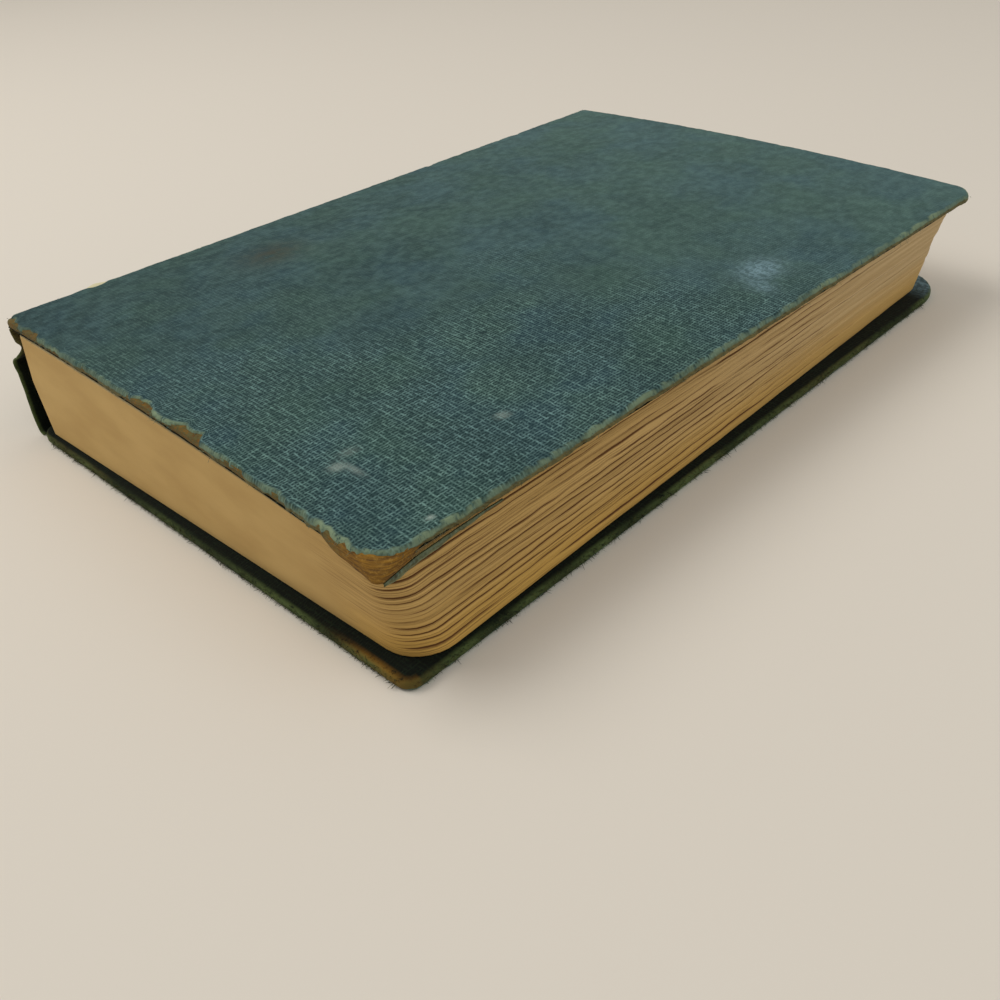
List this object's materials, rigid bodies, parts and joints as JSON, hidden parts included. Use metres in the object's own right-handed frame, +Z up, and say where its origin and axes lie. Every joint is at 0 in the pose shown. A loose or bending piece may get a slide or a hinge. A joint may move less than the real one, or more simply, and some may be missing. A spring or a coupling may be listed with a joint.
{
  "type": "hardback book",
  "caption": "Old cloth-bound hardback book, closed, with a hollow spine, hinged covers and a worn corner.",
  "frame": {"origin": "middle of the back cover's outer face, which rests on the table", "axes": "+Z up, through the book's thickness; +Y along the book, from tail to head; +X from the spine to the fore-edge"},
  "size_m": [0.1325, 0.1929, 0.0299],
  "materials": {
    "board": "bare greyboard, browned, fibrous where exposed",
    "bookcloth": "faded teal linen book cloth, worn at the edges",
    "pages": "trimmed page edges, browned with age",
    "lining": "open-weave lining cloth, glued",
    "endpaper": "plain uncoated paper, yellowed"
  },
  "bodies": {
    "pages": {"text_block": "pages", "spine_lining": "lining", "cover_cloth_spine": "bookcloth", "spine_inlay": "board"},
    "front_cover": {"front_board": "board", "cover_cloth_front": "bookcloth", "front_pastedown": "endpaper"},
    "back_cover": {"back_board": "board", "cover_cloth_back": "bookcloth", "back_pastedown": "endpaper"}
  },
  "joints": [
    {"name": "front_cover_hinge", "type": "hinge", "parent": "pages", "child": "front_cover", "pos_m": [-0.0647, -0.09419, 0.02708], "axis": [-0.0204, -0.9998, 0], "range_deg": [0, 180]},
    {"name": "back_cover_hinge", "type": "hinge", "parent": "pages", "child": "back_cover", "pos_m": [-0.0639, 0, 0], "axis": [0, 1, 0], "range_deg": [0, 180]}
  ]
}
